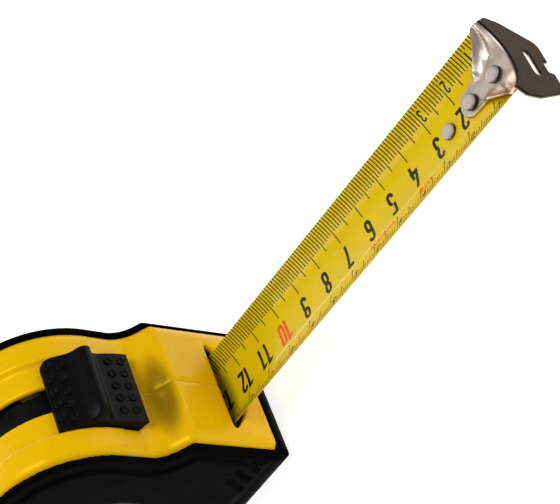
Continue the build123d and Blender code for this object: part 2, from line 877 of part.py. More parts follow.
with BuildPart() as lock_shoe:
    with Locations((shoe_x, 0, (shoe_top + blade_height) / 2)):
        Box(shoe_length, 2 * shoe_foot_outer, shoe_top - blade_height)
    with BuildSketch(Plane.YZ.offset(shoe_x - shoe_length)):
        with Locations((0, blade_axis_z)):
            Circle(blade_curve_radius - shoe_gap)
    extrude(amount=2 * shoe_length, mode=Mode.INTERSECT)
    with Locations((shoe_x, 0, blade_height)):
        Box(2 * shoe_length, 2 * shoe_foot_inner, 2 * shoe_bridge_rise, mode=Mode.SUBTRACT)
save(lock_shoe.part, "lock_shoe")


# ---------------------------------------------------------------- belt clip
with BuildPart() as belt_clip:
    with BuildSketch(Plane.YZ) as profile:
        with BuildLine():
            seat_y = shell_half
            spine = Polyline(
                (seat_y + clip_sheet / 2, clip_top),
                (seat_y + clip_sheet / 2, clip_bend_z),
                (clip_y + clip_sheet / 2, clip_bend_z - clip_slope),
                (clip_y + clip_sheet / 2, clip_low + clip_lip),
                (clip_y - clip_catch, clip_low + clip_lip * clip_catch_share),
                (clip_y + clip_catch, clip_low),
            )
            offset(spine, amount=clip_sheet / 2, kind=Kind.INTERSECTION)
        make_face()
    extrude(amount=clip_width / 2, both=True)
    with BuildSketch(Plane.XZ.offset(-shell_half)):
        with Locations((0, clip_screw_z)):
            Circle(screw_radius + loose)
    extrude(amount=-clip_sheet * 2, mode=Mode.SUBTRACT)
save(belt_clip.part, "belt_clip")

with BuildPart() as clip_screw:
    head_y = shell_half + clip_sheet
    add(cross_screw(0, clip_screw_z, head_y, clip_screw_length, clip_screw_head, 1.5))
save(clip_screw.part, "clip_screw")
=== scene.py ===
# %% [markdown]
# # A pocket tape measure
# The moving parts, their sizes and their joints are already settled in a CAD model. This lesson
# loads that model as a fixed frame, then gives every piece the surface that the real thing has:
# glossy moulded shells, rubber grips, a printed steel blade and a nickelled hook.
# Nothing of the frame is moved. A piece is either the CAD shape with a better finish, or a new
# mesh that is modelled in the same place and stands for the CAD one.

# %% Load the frame
import math

import bpy
from mathutils import Matrix, Vector


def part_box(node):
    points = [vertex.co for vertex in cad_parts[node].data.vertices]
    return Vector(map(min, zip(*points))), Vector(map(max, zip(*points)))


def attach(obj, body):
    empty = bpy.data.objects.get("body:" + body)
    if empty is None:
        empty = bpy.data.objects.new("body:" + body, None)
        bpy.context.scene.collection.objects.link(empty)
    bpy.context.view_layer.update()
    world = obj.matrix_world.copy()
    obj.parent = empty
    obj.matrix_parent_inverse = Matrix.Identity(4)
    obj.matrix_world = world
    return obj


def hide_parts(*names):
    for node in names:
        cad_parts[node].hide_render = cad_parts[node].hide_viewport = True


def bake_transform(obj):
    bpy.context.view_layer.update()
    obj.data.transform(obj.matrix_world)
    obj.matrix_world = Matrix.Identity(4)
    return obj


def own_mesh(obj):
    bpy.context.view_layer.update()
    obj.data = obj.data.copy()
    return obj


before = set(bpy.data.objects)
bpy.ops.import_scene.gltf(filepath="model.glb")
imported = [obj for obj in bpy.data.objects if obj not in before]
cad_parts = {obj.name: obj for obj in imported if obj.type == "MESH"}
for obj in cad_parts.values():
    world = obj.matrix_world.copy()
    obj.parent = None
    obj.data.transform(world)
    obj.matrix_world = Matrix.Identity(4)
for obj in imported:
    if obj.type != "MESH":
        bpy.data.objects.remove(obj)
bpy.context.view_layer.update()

MM = 0.001

# %% [markdown]
# ## Measures taken from the frame
# Everything that is placed one by one later needs a few measures. They are read off the frame's own
# boxes instead of being typed in, so a changed CAD size carries over. Only what a box can't say,
# such as the radius of the blade's curve, or of the case's crown that the button's track follows,
# is a number here.

# %% Measures
tip_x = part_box("end_hook")[1].x
blade_curve = 16.5 * MM
blade_thickness = 0.2 * MM
hook_gap = 0.05 * MM
hook_sheet = 0.9 * MM
blade_low, blade_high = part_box("blade_front")
blade_axis_z = blade_low.z + blade_thickness + blade_curve
blade_half_angle = math.acos((blade_axis_z - blade_high.z) / blade_curve)
reel_low, reel_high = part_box("reel_drum")
reel_z = (reel_low.z + reel_high.z) / 2
crown_x, crown_radius = 8 * MM, 26 * MM
track = Vector((crown_x, 0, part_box("case_left")[1].z - crown_radius))
print(f"half angle {math.degrees(blade_half_angle):.2f} deg, axis at {blade_axis_z / MM:.2f} mm")

# %% [markdown]
# ## Camera
# The camera stands high in front of the nose, to the right of the blade, and is rolled on its
# side: the blade runs up the picture to the right, and the case's top faces left. A long lens
# keeps the case and the far hook at nearly the same scale. The camera's turn is given by its own
# right and up directions.

# %% Camera
camera_data = bpy.data.cameras.new("camera")
camera_data.sensor_width = 36
camera_data.lens = 112.43
camera_data.clip_end = 20
camera = bpy.data.objects.new("camera", camera_data)
bpy.context.scene.collection.objects.link(camera)
camera_place = Vector((0.32426, -0.25553, 0.29501))
camera_right = Vector((0.52756, -0.32513, -0.78484))
camera_up = Vector((0.65928, 0.73934, 0.13688))
camera_back = camera_right.cross(camera_up)
camera_turn = Matrix((camera_right, camera_up, camera_back)).transposed()
camera.matrix_world = Matrix.Translation(camera_place) @ camera_turn.to_4x4()
bpy.context.scene.camera = camera
bpy.context.scene.view_settings.view_transform = "Standard"
print("camera at", [round(v, 3) for v in camera.matrix_world.translation])


# %% [markdown]
# ## Helpers for modelling
# Blender's modelling operators work on the active object and on what is selected in it. These
# short functions set that up, so that each piece's own cell says only what is done to its shape.

# %% Working helpers
def only(piece):
    """Make a piece the only selected one, in object mode."""
    if bpy.context.object and bpy.context.object.mode != "OBJECT":
        bpy.ops.object.mode_set(mode="OBJECT")
    bpy.ops.object.select_all(action="DESELECT")
    piece.select_set(True)
    bpy.context.view_layer.objects.active = piece


def apply_modifier(piece, kind, **settings):
    """Add a modifier, set it and apply it."""
    only(piece)
    modifier = piece.modifiers.new(kind.lower(), kind)
    for name, value in settings.items():
        setattr(modifier, name, value)
    bpy.ops.object.modifier_apply(modifier=modifier.name)


def pick(piece, element, test):
    """Go into edit mode with only the vertices, edges or faces that pass a test selected."""
    only(piece)
    bpy.ops.object.mode_set(mode="EDIT")
    bpy.ops.mesh.select_mode(type=element)
    bpy.ops.mesh.select_all(action="DESELECT")
    bpy.ops.object.mode_set(mode="OBJECT")
    mesh = piece.data
    elements = {"VERT": mesh.vertices, "EDGE": mesh.edges, "FACE": mesh.polygons}[element]
    count = 0
    for item in elements:
        item.select = test(item)
        count += item.select
    bpy.ops.object.mode_set(mode="EDIT")
    return count


def tidy(piece, angle=40, outward=True):
    """Merge doubles, turn the faces outward and shade the piece."""
    only(piece)
    bpy.ops.object.mode_set(mode="EDIT")
    bpy.ops.mesh.select_all(action="SELECT")
    bpy.ops.mesh.remove_doubles(threshold=0.002 * MM)
    if outward:
        bpy.ops.mesh.normals_make_consistent(inside=False)
    bpy.ops.object.mode_set(mode="OBJECT")
    bpy.ops.object.transform_apply(location=True, rotation=True, scale=True)
    bpy.ops.object.shade_smooth_by_angle(angle=math.radians(angle))
    return piece


def chain(name, points):
    """A chain of edges: a plane merged to one point, then extruded from point to point."""
    only(camera)  # a mesh is added in object mode
    bpy.ops.mesh.primitive_plane_add(size=MM, location=(0, 0, 0))
    piece = bpy.context.object
    piece.name = name
    bpy.ops.object.mode_set(mode="EDIT")
    bpy.ops.mesh.select_mode(type="VERT")
    bpy.ops.mesh.merge(type="CENTER")
    bpy.ops.transform.translate(value=Vector(points[0]))
    for here, there in zip(points, points[1:]):
        step = Vector(there) - Vector(here)
        bpy.ops.mesh.extrude_region_move(TRANSFORM_OT_translate={"value": step})
    return piece


def turned(name, profile, centre, steps):
    """A round piece with an upright axis: a profile of (radius, height) spun a full turn."""
    x, y, z = centre
    piece = chain(name, [(x + radius, y, z + height) for radius, height in profile])
    bpy.ops.mesh.select_all(action="SELECT")
    bpy.ops.mesh.spin(steps=steps, angle=2 * math.pi, center=centre, axis=(0, 0, 1))
    return tidy(piece)


def cad_copy(node, name):
    """The CAD shape as a mesh of its own, merged and shaded, standing for the node."""
    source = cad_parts[node]
    piece = bpy.data.objects.new(name, source.data.copy())
    bpy.context.scene.collection.objects.link(piece)
    piece.data.materials.clear()
    only(piece)
    if piece.data.has_custom_normals:
        bpy.ops.mesh.customdata_custom_splitnormals_clear()
    tidy(piece, 35, outward=False)
    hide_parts(node)
    return piece


def finish(piece, material, body=None):
    """Give a piece its material, and let it ride on a body."""
    piece.data.materials.clear()
    piece.data.materials.append(material)
    if body:
        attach(piece, body)
    print(f"{piece.name}: {len(piece.data.polygons)} faces, rides on {body}")


# %% [markdown]
# ## Floor and light
# The floor is a plain sheet that glows faintly, so that it stays nearly white and keeps only
# soft shadows. The key is a large panel high above the front. A big dim panel fills from the
# rear, a long low one puts a gloss stripe along the blade, and two small ones, above the hook
# and near the case, bring out the rivets and the button's edges.

# %% Floor
bpy.ops.object.select_all(action="DESELECT")
bpy.ops.mesh.primitive_plane_add(size=6, location=(0, 0, 0))
floor = bpy.context.object
floor.name = "floor"
floor_paint = bpy.data.materials.new("floor_paint")
floor_paint.use_nodes = True
floor_shader = floor_paint.node_tree.nodes["Principled BSDF"]
floor_shader.inputs["Base Color"].default_value = (0.5, 0.5, 0.5, 1)
floor_shader.inputs["Roughness"].default_value = 0.9
floor_shader.inputs["Specular IOR Level"].default_value = 0.0
floor_shader.inputs["Emission Color"].default_value = (1, 1, 1, 1)
floor_shader.inputs["Emission Strength"].default_value = 0.85
floor.data.materials.append(floor_paint)

# %% Light
world = bpy.data.worlds.new("studio")
world.use_nodes = True
world.node_tree.nodes["Background"].inputs["Color"].default_value = (0.95, 0.97, 1.0, 1)
world.node_tree.nodes["Background"].inputs["Strength"].default_value = 0.30
bpy.context.scene.world = world


def softbox(name, place, target, width, height, power):
    """A rectangular light panel that faces a point."""
    panel = bpy.data.lights.new(name, "AREA")
    panel.shape = "RECTANGLE"
    panel.size, panel.size_y = width, height
    panel.energy = power
    lamp = bpy.data.objects.new(name, panel)
    bpy.context.scene.collection.objects.link(lamp)
    lamp.location = place
    lamp.rotation_euler = (Vector(target) - Vector(place)).to_track_quat("-Z", "Y").to_euler()


softbox("panel_key", (0.42, 0.0, 1.02), (0.05, 0, 0.03), 0.55, 0.55, 8.2)
softbox("panel_fill", (-0.5, 0.6, 0.62), (0.05, 0, 0.03), 0.8, 0.8, 1.3)
softbox("panel_stripe", (-0.44, 0.84, 0.13), (0.08, 0, 0.03), 1.2, 0.22, 5.5)
softbox("panel_hook", (-0.39, -0.16, 0.86), (0.16, 0.01, 0.02), 0.3, 0.3, 0.75)
softbox("panel_near", (-0.20, -0.24, 0.28), (0.0, -0.02, 0.06), 0.14, 0.14, 0.3)


# %% [markdown]
# ## Writing shaders as sums
# A pattern such as a ruler's print is arithmetic on a surface point's coordinates. Wiring Math
# nodes by hand hides that, so one small class wraps a socket and lets Python's operators add the
# nodes. Its `node` method adds any other kind of node. A second class starts a material and
# holds the noises, reliefs and links that all the finishes share.

# %% The Wire class
class Wire:
    """A socket in a material, with arithmetic."""

    def __init__(self, tree, socket=None):
        self.tree = tree
        self.socket = socket

    def node(self, kind, settings=None, inputs=None, output=0):
        """Any node: its settings are set first, then its sockets get values or links."""
        made = self.tree.nodes.new("ShaderNode" + kind)
        for name, value in (settings or {}).items():
            setattr(made, name, value)
        for name, value in (inputs or {}).items():
            if isinstance(value, Wire):
                self.tree.links.new(value.socket, made.inputs[name])
            else:
                made.inputs[name].default_value = value
        return Wire(self.tree, made.outputs[output])

    def maths(self, operation, *values):
        return self.node("Math", {"operation": operation}, dict(enumerate([self, *values])))

    def __add__(self, other):
        return self.maths("ADD", other)

    __radd__ = __add__

    def __sub__(self, other):
        return self.maths("SUBTRACT", other)

    def __rsub__(self, other):
        return self.node("Math", {"operation": "SUBTRACT"}, {0: other, 1: self})

    def __mul__(self, other):
        return self.maths("MULTIPLY", other)

    __rmul__ = __mul__

    def __truediv__(self, other):
        return self.maths("DIVIDE", other)

    def __abs__(self):
        return self.maths("ABSOLUTE")

    def __lt__(self, other):
        return self.maths("LESS_THAN", other)

    def __gt__(self, other):
        return self.maths("GREATER_THAN", other)

    def __and__(self, other):
        return self.maths("MULTIPLY", other)

    def __or__(self, other):
        return self.maths("MAXIMUM", other)

    def ramp(self, low, high):
        """0 below one value, 1 above the other, smooth between them."""
        limits = {"Value": self, "From Min": low, "From Max": high}
        return self.node("MapRange", {"interpolation_type": "SMOOTHSTEP"}, limits)


def colour_mix(share, first, second):
    """Two colours, or wires, mixed by a share."""
    first = first if isinstance(first, Wire) else (*first, 1)
    second = second if isinstance(second, Wire) else (*second, 1)
    made = share.tree.nodes.new("ShaderNodeMix")
    made.data_type = "RGBA"
    share.tree.links.new(share.socket, made.inputs["Factor"])
    for name, value in (("A", first), ("B", second)):
        target = [s for s in made.inputs if s.name == name and s.type == "RGBA"][0]
        if isinstance(value, Wire):
            share.tree.links.new(value.socket, target)
        else:
            target.default_value = value
    result = [s for s in made.outputs if s.type == "RGBA"][0]
    return Wire(share.tree, result)


class Finish:
    """A new material: its shader, and the surface point in millimetres."""

    def __init__(self, name, **constants):
        self.material = bpy.data.materials.new(name)
        self.material.use_nodes = True
        tree = self.material.node_tree
        self.shader = tree.nodes["Principled BSDF"]
        self.start = Wire(tree)
        point = self.start.node("TexCoord", output="Object")
        self.mm = self.start.node(
            "VectorMath", {"operation": "SCALE"}, {0: point, "Scale": 1 / MM}
        )
        split = tree.nodes.new("ShaderNodeSeparateXYZ")
        tree.links.new(self.mm.socket, split.inputs[0])
        self.x, self.y, self.z = (Wire(tree, split.outputs[i]) for i in range(3))
        for socket, value in constants.items():
            self.shader.inputs[socket.replace("_", " ")].default_value = value

    def noise(self, scale, detail=3.0, roughness=0.5):
        """Soft random value, about 0.5, at so many features a millimetre."""
        inputs = {"Vector": self.mm, "Scale": scale, "Detail": detail, "Roughness": roughness}
        return self.start.node("TexNoise", None, inputs, output="Fac")

    def streaks(self, scale, detail, squeeze, turn=(0, 0, 0)):
        """Noise squeezed by three factors into lines, for scratches and brushing."""
        inputs = {"Vector": self.mm, "Rotation": turn, "Scale": squeeze}
        squeezed = self.start.node("Mapping", None, inputs)
        inputs = {"Vector": squeezed, "Scale": scale, "Detail": detail}
        return self.start.node("TexNoise", None, inputs, output="Fac")

    def feed(self, socket, wire):
        self.start.tree.links.new(wire.socket, self.shader.inputs[socket])

    def bump(self, height, distance, strength=1.0, under=None):
        """Relief from a height from 0 to 1, so many millimetres deep."""
        inputs = {"Height": height, "Distance": distance * MM, "Strength": strength}
        if under:
            inputs["Normal"] = under
        return self.start.node("Bump", None, inputs, output="Normal")

    def soft_edges(self, radius):
        """Rounds sharp edges for the light, as moulding and stamping do."""
        return self.start.node("Bevel", {"samples": 6}, {"Radius": radius * MM})


# %% [markdown]
# ## The yellow shells
# Both halves are injection moulded in glossy ABS. The finish adds what a mould leaves behind: a
# faint orange-peel texture, a slight unevenness of colour, fine handling scratches that show only
# in the gloss, and the parting line where the halves meet in the middle plane. The hollow in front
# of the button is painted darker, as painted shade.

# %% Finish of the shells
shell = Finish("yellow_shell", IOR=1.5, Specular_Tint=(1, 0.70, 0.05, 1))
blotch = shell.noise(0.06, 2.0)
grime = shell.noise(0.35, 4.0).ramp(0.52, 0.75)
parting = 1 - abs(shell.y).ramp(0.03, 0.10)
shell_yellow = colour_mix(blotch, (0.715, 0.410, 0.0), (0.745, 0.430, 0.0005))
shell_worn = colour_mix(grime * 0.04, shell_yellow, (0.35, 0.20, 0.01))
# The hollow in front of the button is painted darker: painted shade.
from_hollow = ((shell.x - 37.4) / 3.6, (shell.y + 2.5) / 10, (shell.z - 37.4) / 3.6)
hollow_x, hollow_y, hollow_z = (offset * offset for offset in from_hollow)
painted_hollow_shade = 1 - (hollow_x + hollow_y + hollow_z).ramp(0.1, 2.4)
shell_with_painted_shade = colour_mix(painted_hollow_shade * 0.80, shell_worn, (0.10, 0.045, 0.0))
shell.feed("Base Color", colour_mix(parting * 0.12, shell_with_painted_shade, (0.28, 0.14, 0.0)))
scratches = shell.streaks(1.2, 2.0, (0.15, 6, 6), turn=(0.3, 0.5, 0.9)).ramp(0.62, 0.68)
shell.feed("Roughness", 0.27 + grime * 0.12 + scratches * 0.10)
peel = shell.bump(shell.noise(2.2, 2.0), 0.02, 0.35, shell.soft_edges(0.35))
shell.feed("Normal", shell.bump(1 - parting, 0.03, 0.5, peel))

# %% [markdown]
# The CAD shells have crisp edges. A fine voxel remesh, a few rounds of smoothing and rounder
# front corners give them a moulding's soft edges. Then the hollow for the thumb is pressed in, and
# the halves are brought together along their seam, so that only a hairline stays open.

# %% Soft edges
def soften(piece, voxel, rounds, nose_radius):
    """Remesh a moulding finely, smooth its edges and round its upright front corners."""
    apply_modifier(piece, "REMESH", mode="VOXEL", voxel_size=voxel, adaptivity=0)
    apply_modifier(piece, "SMOOTH", factor=0.5, iterations=rounds)
    front = max(v.co.x for v in piece.data.vertices)
    wide = max(abs(v.co.y) for v in piece.data.vertices)
    for vertex in piece.data.vertices:
        ahead = vertex.co.x - (front - nose_radius)
        aside = abs(vertex.co.y) - (wide - nose_radius)
        far = math.hypot(ahead, aside)
        if ahead > 0 and aside > 0 and far > nose_radius:
            vertex.co.x -= ahead * (1 - nose_radius / far)
            vertex.co.y -= math.copysign(aside * (1 - nose_radius / far), vertex.co.y)
    print(piece.name, len(piece.data.polygons), "faces after remeshing")
    tidy(piece, 60)


# %% The shells
dip_centre = Vector((37.6, -5.0, 37.2)) * MM
dip_normal = Vector((0.57, 0, 0.82))
dip_length, dip_breadth, dip_depth = 4 * MM, 7 * MM, 1.3 * MM
seam_reach = 0.6 * MM
for side, closing in (("left", 0.3 * MM), ("right", -0.3 * MM)):
    half = cad_copy(f"case_{side}", f"shell_{side}")
    soften(half, voxel=0.52 * MM, rounds=4, nose_radius=4.5 * MM)
    for vertex in half.data.vertices:
        off = vertex.co - dip_centre
        spread = (off.x**2 + off.z**2) / dip_length**2 + (off.y / dip_breadth) ** 2
        vertex.co -= dip_normal * dip_depth * math.exp(-spread)
        from_seam = abs(vertex.co.y) / seam_reach
        if from_seam < 1:
            vertex.co.y -= (1 - from_seam) * closing
    tidy(half, 60)
    finish(half, shell.material, "case")

# %% [markdown]
# ## The rubber grips
# The grips are moulded over the sides: a soft black rubber with a fine spark-eroded texture. It
# is matt and a little dusty in its hollows. The grips get softer edges and rounder front corners
# in the same way as the shells, and are pushed out by a hair to make up for what the smoothing
# takes off.

# %% Finish of the rubber
rubber = Finish("black_rubber", IOR=1.45, Specular_IOR_Level=0.012)
stipple = rubber.noise(3.2, 2.0, 0.6)
dust = rubber.noise(0.18, 5.0).ramp(0.50, 0.80)
rubber_black = colour_mix(dust * 0.25, (0.0018, 0.0015, 0.0013), (0.006, 0.0055, 0.005))
rubber.feed("Base Color", rubber_black)
rubber.feed("Roughness", 0.46 + dust * 0.22 + stipple * 0.08)
rubber.feed("Normal", rubber.bump(stipple, 0.10, 0.45, rubber.soft_edges(0.3)))

# %% The grips
for side in ("left", "right"):
    grip = cad_copy(f"grip_{side}", f"rubber_grip_{side}")
    soften(grip, voxel=0.5 * MM, rounds=2, nose_radius=6 * MM)
    apply_modifier(grip, "DISPLACE", strength=0.15 * MM, mid_level=0)
    finish(grip, rubber.material, "case")

# %% [markdown]
# ## The blade
# A tape's blade is a strip of spring steel, rolled to a shallow trough so that it stands out
# stiff. One lengthwise line is spun about the axis of that trough, which makes the whole curved
# sheet in one step. The Solidify modifier then gives the sheet its thickness, downwards. The hidden
# end stays curved below the reel, where the real blade flattens and winds up.

# %% Shape of the blade
blade_tip_x = blade_high.x
blade_end_x = -20 * MM
edge_y = blade_curve * math.sin(blade_half_angle)
edge_z = blade_high.z
cuts_along, steps_across = 91, 28
blade = chain("blade", [(blade_tip_x, edge_y, edge_z), (blade_end_x, edge_y, edge_z)])
bpy.ops.mesh.select_all(action="SELECT")
bpy.ops.mesh.subdivide(number_cuts=cuts_along)
bpy.ops.mesh.select_all(action="SELECT")
bpy.ops.mesh.spin(
    steps=steps_across,
    angle=2 * blade_half_angle,
    center=(0, 0, blade_axis_z),
    axis=(1, 0, 0),
)
bpy.ops.object.mode_set(mode="OBJECT")
print("blade's lowest line:", round(min(v.co.z for v in blade.data.vertices) / MM, 3))
tidy(blade, 30)
if sum(p.normal.z for p in blade.data.polygons) < 0:
    pick(blade, "FACE", lambda face: True)
    bpy.ops.mesh.flip_normals()
    bpy.ops.object.mode_set(mode="OBJECT")
apply_modifier(blade, "SOLIDIFY", thickness=blade_thickness, offset=-1)

# %% [markdown]
# ## The blade's print
# The print is a scale, so it is drawn by arithmetic from the distance to the zero mark and the
# distance from the blade's far edge, measured along the curve. A tick is a narrow band around
# each whole millimetre, longer at every fifth and tenth. A numeral is built like a sign painter's
# block letter, from narrow rings and straight strokes, and the centimetre's number picks which
# of the ten digits is shown. Since the print is worked out where the surface is, it stays true
# when the blade runs in and out.

# %% Coordinates of the print
paint = Finish(
    "blade_paint",
    IOR=1.5,
    Specular_IOR_Level=0.2,
    Specular_Tint=(1, 0.8, 0.15, 1),
    Coat_Roughness=0.06,
)
curve_mm = blade_curve / MM
drop = blade_axis_z / MM - paint.z
along = tip_x / MM - paint.x
across = curve_mm * blade_half_angle - curve_mm * paint.y.maths("ARCTAN2", drop)
width_mm = 2 * curve_mm * blade_half_angle
centimetre = (along / 10 + 0.5).maths("FLOOR")
beside_centimetre = along - centimetre * 10
upper_side = (paint.y * paint.y + drop * drop).maths("SQRT") < curve_mm + 0.08

# %% Ticks
nearest = abs((along + 0.5).maths("FRACT") - 0.5)
nearest_five = abs((along / 5 + 0.5).maths("FRACT") - 0.5) * 5
nearest_ten = abs((along / 10 + 0.5).maths("FRACT") - 0.5) * 10
stroke = nearest < 0.17  # half the width of a tick
fifth = nearest_five < 0.4
tenth = nearest_ten < 0.4
far_length = 5.0 + fifth * 1.8 + tenth * 1.7
near_length = 4.2 + fifth * 1.6 + tenth * 1.5
far_ticks = stroke & (across < far_length)
near_ticks = stroke & ((width_mm - across) < near_length)


# %% Digits
def ring(u, v, middle, half_height, half_width, line):
    """A narrow ring with round ends."""
    straight = half_height - half_width
    over = (abs(v - middle) - straight).maths("MAXIMUM", 0.0)
    edge = (u * u + over * over).maths("SQRT")
    return (edge < half_width) & (edge > half_width - line)


def bar(u, v, left, right, low, high):
    """An upright rectangle."""
    inside_u = abs(u - (left + right) / 2) < (right - left) / 2
    inside_v = abs(v - (low + high) / 2) < (high - low) / 2
    return inside_u & inside_v


def slant(u, v, start, end, line):
    """A straight stroke between two heights, cut off level."""
    (u0, v0), (u1, v1) = start, end
    slope = (u1 - u0) / (v1 - v0)
    flat_line = line * math.hypot(1, slope)
    off = u - (v - v0) * slope - u0
    low, high = min(v0, v1), max(v0, v1)
    return (abs(off) < flat_line / 2) & (abs(v - (low + high) / 2) < (high - low) / 2)


def digit_shapes(u, v, wanted, tall=6.6):
    """Masks of the wanted digits, drawn about the point where u and v are 0."""
    h = tall / 2
    w = tall * 0.2
    t = tall * 0.15
    outer = ring(u, v, 0.0, h, w, t)
    upper = ring(u, v, h * 0.47, h * 0.53, w, t)
    lower = ring(u, v, -h * 0.45, h * 0.55, w, t)
    left = u < 0.0
    shapes = {
        0: lambda: outer,
        1: lambda: bar(u, v, 0.05 * w, 0.05 * w + t, -h, h)
        | slant(u, v, (-0.75 * w, 0.55 * h), (0.35 * w, 0.93 * h), t),
        2: lambda: (upper & ((v > 0.45 * h) | ((v > 0.25 * h) & (u > 0.0))))
        | slant(u, v, (-w + 0.62 * t, -h + t * 0.9), (w - 0.6 * t, 0.30 * h), t)
        | bar(u, v, -w, w, -h, -h + t),
        3: lambda: (upper | lower) & (1 - (left & (abs(v) < 0.52 * h))),
        4: lambda: slant(u, v, (-w + 0.5 * t, -0.42 * h), (0.30 * w, h), t)
        | bar(u, v, -w * 1.05, w * 1.15, -0.55 * h, -0.55 * h + t)
        | bar(u, v, 0.25 * w, 0.25 * w + t, -h, 0.15 * h),
        5: lambda: bar(u, v, -w * 0.85, w * 0.9, h - t, h)
        | bar(u, v, -w * 0.9, -w * 0.9 + t, -0.02 * h, h)
        | (lower & (1 - (left & (v > -0.50 * h) & (v < 0.02 * h)))),
        6: lambda: lower | (outer & (v > -0.1 * h) & (left | (v > 0.55 * h))),
        7: lambda: bar(u, v, -w, w, h - t, h)
        | slant(u, v, (-0.30 * w, -h), (w - 0.55 * t, h - 0.3 * t), t),
        8: lambda: upper | lower,
        9: lambda: upper | (outer & (v < 0.1 * h) & ((u > 0.0) | (v < -0.55 * h))),
    }
    return {number: shapes[number]() for number in wanted}


def one_of(shapes, number):
    """The shape that belongs to a changing whole number."""
    shown = None
    for digit, shape in shapes.items():
        this = shape & (abs(number - digit) < 0.5)
        shown = this if shown is None else shown | this
    return shown


# %% [markdown]
# Large centimetre numerals stand in the middle of the blade. The first three centimetres also have
# small ones among the far ticks, and a row of small ones for the near scale stands upside down.

# %% Numerals
two_digits = centimetre > 9.5
half_pitch = 1.38  # half the distance between the digits of a numeral
units = centimetre - two_digits * 10
figure_v = across - 13.2
unit_figures = one_of(
    digit_shapes(beside_centimetre - two_digits * half_pitch, figure_v, range(10)), units
)
ten_figures = digit_shapes(beside_centimetre + half_pitch, figure_v, (1,))[1] & two_digits
big_figures = (unit_figures | ten_figures) & (centimetre > 1.5)

small_figures = one_of(
    digit_shapes(beside_centimetre + 1.4, across - 3.65, (1, 2, 3), tall=3.5), centimetre
)
edge_figures = one_of(
    digit_shapes(beside_centimetre * -1 - 1.7, width_mm - 3.4 - across, range(10), tall=3.2), units
)
few = (centimetre < 3.5) & (beside_centimetre > -2.6) & (beside_centimetre < -0.25)
cleared = few & (across > 1.6) & (across < 5.7)
print("print's nodes:", len(paint.start.tree.nodes))

# %% [markdown]
# Makers print small red approval marks between the numerals. Here they are only rows of
# unreadable red flecks. The tenth centimetre is red too. Over the ink lies a clear varnish with
# slight ripples from rolling and fine lengthwise rubbing marks from sliding through the mouth.

# %% Colours of the blade
fleck_noise = paint.noise(1.7, 2.0).ramp(0.46, 0.52)
flecks = (
    (bar(along, across, 34.5, 40.5, 18.0, 20.0) | bar(along, across, 51.0, 61.5, 17.6, 19.2))
    & fleck_noise
    & ((along * 0.8).maths("FRACT") < 0.72)
)
red_number = abs(centimetre - 10) < 0.5
ink = (far_ticks & (1 - cleared)) | near_ticks | small_figures | edge_figures | big_figures
wear = paint.noise(0.9, 5.0).ramp(0.60, 0.78)
red = (big_figures & red_number) | flecks
tone = paint.noise(0.08, 2.0)
paint_yellow = colour_mix(tone, (0.610, 0.425, 0.0), (0.660, 0.465, 0.002))
printed = colour_mix(
    upper_side & ink & (1 - red) & (1 - wear * 0.18), paint_yellow, (0.012, 0.010, 0.008)
)
red_share = upper_side & red & (1 - wear * 0.2)
paint.feed("Base Color", colour_mix(red_share, printed, (0.72, 0.07, 0.01)))
rubbed = paint.streaks(1.5, 3.0, (0.05, 3, 3))
paint.feed("Roughness", 0.24 + rubbed * 0.14 + ink * 0.04)
paint.feed("Coat Weight", 0.25 - wear * 0.12)
ripple = paint.bump(paint.noise(0.25, 2.0), 0.08, 0.25)
paint.feed("Normal", paint.bump(rubbed, 0.02, 0.25, ripple))
finish(blade, paint.material, "blade")
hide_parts("blade_front", "blade_rear")
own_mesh(blade)

# %% [markdown]
# ## The end hook
# The hook is stamped from one strip of steel: wings that lie in the blade's trough, a tongue for
# the rivets and a plate turned down at a right angle, then nickel plated. The CAD shape has the
# right outline. To make it look pressed, its outer bend is rounded, the sheet is remeshed finely
# and smoothed, and each wing gets a raised rib with a valley in front of it, as a press leaves
# them. The plating is bright on the wings; the plate is painted near black, a painted reflection.

# %% Shape of the hook
hook = cad_copy("end_hook", "hook")
wing_top_curve = blade_curve - hook_gap - hook_sheet


def on_outer_bend(edge):
    """Whether an edge is on the plate's front face and as high as the wings' upper side."""
    for index in edge.vertices:
        corner = hook.data.vertices[index].co
        wing_top = blade_axis_z - math.sqrt(wing_top_curve**2 - corner.y**2)
        if abs(corner.x - tip_x) >= 0.02 * MM or corner.z <= wing_top - 0.05 * MM:
            return False
    return True


pick(hook, "EDGE", on_outer_bend)
bpy.ops.mesh.bevel(offset=0.75 * MM, segments=5, profile=0.5, affect="EDGES")
bpy.ops.object.mode_set(mode="OBJECT")
apply_modifier(hook, "REMESH", mode="VOXEL", voxel_size=0.16 * MM, adaptivity=0)
apply_modifier(hook, "SMOOTH", factor=0.5, iterations=8)


def distance_to_line(x, y, start, end):
    """Distance from a point to a straight line between two points, in plan."""
    ax, ay = start
    bx, by = end
    share = ((x - ax) * (bx - ax) + (y - ay) * (by - ay)) / ((bx - ax) ** 2 + (by - ay) ** 2)
    share = min(1, max(0, share))
    return math.hypot(x - ax - share * (bx - ax), y - ay - share * (by - ay))


